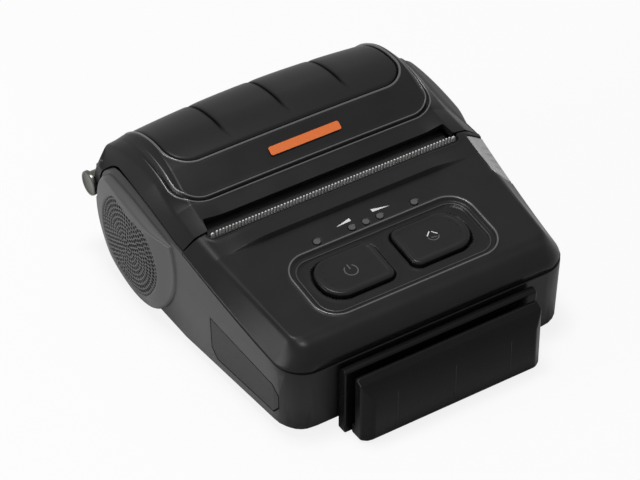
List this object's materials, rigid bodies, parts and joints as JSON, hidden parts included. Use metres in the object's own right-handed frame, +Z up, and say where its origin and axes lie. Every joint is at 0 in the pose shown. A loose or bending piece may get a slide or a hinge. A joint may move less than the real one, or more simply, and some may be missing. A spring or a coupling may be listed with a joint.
{
  "type": "portable receipt printer",
  "caption": "Portable receipt printer with a hinged domed paper lid over a roll bay, toothed tear bar, soft keys, status lights, swipe card reader and strap studs.",
  "frame": {"origin": "on the table, under the middle of the outer box of the printer", "axes": "+X to the printer's right as the user faces its card reader, +Y to the rear, where the lid is hinged, +Z up"},
  "size_m": [0.106, 0.116, 0.0475],
  "materials": {
    "charcoal_case": "fine-grained dark grey moulded plastic",
    "black_panel": "fine-grained black moulded plastic with a soft sheen",
    "black_lid": "smooth black plastic",
    "black_gloss": "glossy black plastic",
    "black_reader": "satin black plastic",
    "black_inner": "plain black plastic",
    "key_plastic": "satin black key plastic",
    "silver_plastic": "silver-grey painted plastic",
    "steel": "plain steel",
    "dark_steel": "turned steel",
    "aluminium": "satin",
    "ceramic": "ceramic print line on a light plate",
    "white_nylon": "moulded nylon",
    "platen_rubber": "ground rubber",
    "grey_rubber": "soft rubber",
    "cover_rubber": "matte rubber flap",
    "circuit_board": "solder-masked board",
    "light_lens": "clear grey light pipe, unlit",
    "battery_case": "matte"
  },
  "bodies": {
    "base": {"lower_case": "charcoal_case", "upper_case": "black_panel", "left_side_cover": "charcoal_case", "right_side_cover": "charcoal_case", "card_reader_rail": "black_reader", "card_reader_head": "black_reader", "tear_bar": "steel", "print_head": "ceramic", "head_plate": "aluminium", "head_frame": "steel", "head_spring_left": "steel", "head_spring_right": "steel", "stepper_motor": "steel", "paper_bay": "black_inner", "paper_sensor": "black_inner", "strap_stud_left": "dark_steel", "strap_stud_right": "dark_steel", "key_mat": "grey_rubber", "control_board": "circuit_board", "error_light": "light_lens", "battery_light_1": "light_lens", "battery_light_2": "light_lens", "battery_light_3": "light_lens", "status_light": "light_lens", "io_board": "circuit_board", "usb_socket": "steel", "serial_socket": "black_inner", "power_jack": "black_inner", "main_board": "circuit_board", "foot_1": "grey_rubber", "foot_2": "grey_rubber", "foot_3": "grey_rubber", "foot_4": "grey_rubber", "case_screw_1": "steel", "case_screw_2": "steel", "case_screw_3": "steel", "case_screw_4": "steel"},
    "lid": {"lid_shell": "black_lid", "lid_pad": "black_gloss", "name_plate": "black_gloss", "lid_frame": "black_inner", "platen_bush_left": "white_nylon", "platen_bush_right": "white_nylon"},
    "platen": {"platen_shaft": "steel", "platen_roller": "platen_rubber", "platen_gear": "white_nylon"},
    "idler": {"idler_gear": "white_nylon"},
    "pinion": {"motor_pinion": "white_nylon"},
    "power_key": {"power_key": "key_plastic"},
    "feed_key": {"feed_key": "key_plastic"},
    "port_cover": {"port_cover": "cover_rubber"},
    "release_button": {"release_button": "silver_plastic"},
    "release_lever": {"release_lever": "steel"},
    "battery": {"battery": "battery_case"},
    "battery_latch": {"battery_latch": "black_inner"},
    "magnetic_head": {"magnetic_head": "steel"}
  },
  "joints": [
    {"name": "lid_hinge", "type": "hinge", "parent": "base", "child": "lid", "pos_m": [0, 0.0542, 0.0243], "axis": [-1, 0, 0], "range_deg": [0, 90]},
    {"name": "platen_turn", "type": "hinge", "parent": "lid", "child": "platen", "pos_m": [0, 0.0092, 0.0285], "axis": [1, 0, 0], "continuous": true},
    {"name": "idler_turn", "type": "hinge", "parent": "base", "child": "idler", "pos_m": [0, 0.00053, 0.02173], "axis": [1, 0, 0], "continuous": true},
    {"name": "pinion_turn", "type": "hinge", "parent": "base", "child": "pinion", "pos_m": [0, -0.00717, 0.01813], "axis": [1, 0, 0], "continuous": true},
    {"name": "power_key_press", "type": "slide", "parent": "base", "child": "power_key", "axis": [0, 0.1229, -0.9924], "range_m": [0, 0.0008], "stiffness_N_per_m": 600, "springref_m": -0.0005},
    {"name": "feed_key_press", "type": "slide", "parent": "base", "child": "feed_key", "axis": [0, 0.1229, -0.9924], "range_m": [0, 0.0008], "stiffness_N_per_m": 600, "springref_m": -0.0005},
    {"name": "release_button_press", "type": "hinge", "parent": "base", "child": "release_button", "pos_m": [0.04456, -0.015, 0.03109], "axis": [0.0708, 0.9791, 0.1907], "range_deg": [0, 5], "stiffness_Nm_per_rad": 0.05, "springref_deg": -3.44},
    {"name": "release_lever_turn", "type": "hinge", "parent": "base", "child": "release_lever", "pos_m": [0.0453, 0.0035, 0.027], "axis": [0, 0, -1], "range_deg": [0, 8]},
    {"name": "port_cover_swing", "type": "hinge", "parent": "base", "child": "port_cover", "pos_m": [-0.0484, -0.0095, 0.013], "axis": [0, 0, -1], "range_deg": [0, 95]},
    {"name": "battery_slide", "type": "slide", "parent": "base", "child": "battery", "axis": [0, 0, -1], "range_m": [0, 0.022]},
    {"name": "battery_latch_slide", "type": "slide", "parent": "base", "child": "battery_latch", "axis": [0, 1, 0], "range_m": [0, 0.002], "stiffness_N_per_m": 300, "springref_m": -0.0005},
    {"name": "magnetic_head_press", "type": "slide", "parent": "base", "child": "magnetic_head", "axis": [0, -1, 0], "range_m": [0, 0.0008], "stiffness_N_per_m": 400, "springref_m": -0.0005}
  ],
  "couplings": [
    {"joint": "idler_turn", "follows": "platen_turn", "ratio": -1},
    {"joint": "pinion_turn", "follows": "platen_turn", "ratio": 1.8333},
    {"joint": "release_lever_turn", "follows": "release_button_press", "ratio": 0.8}
  ]
}
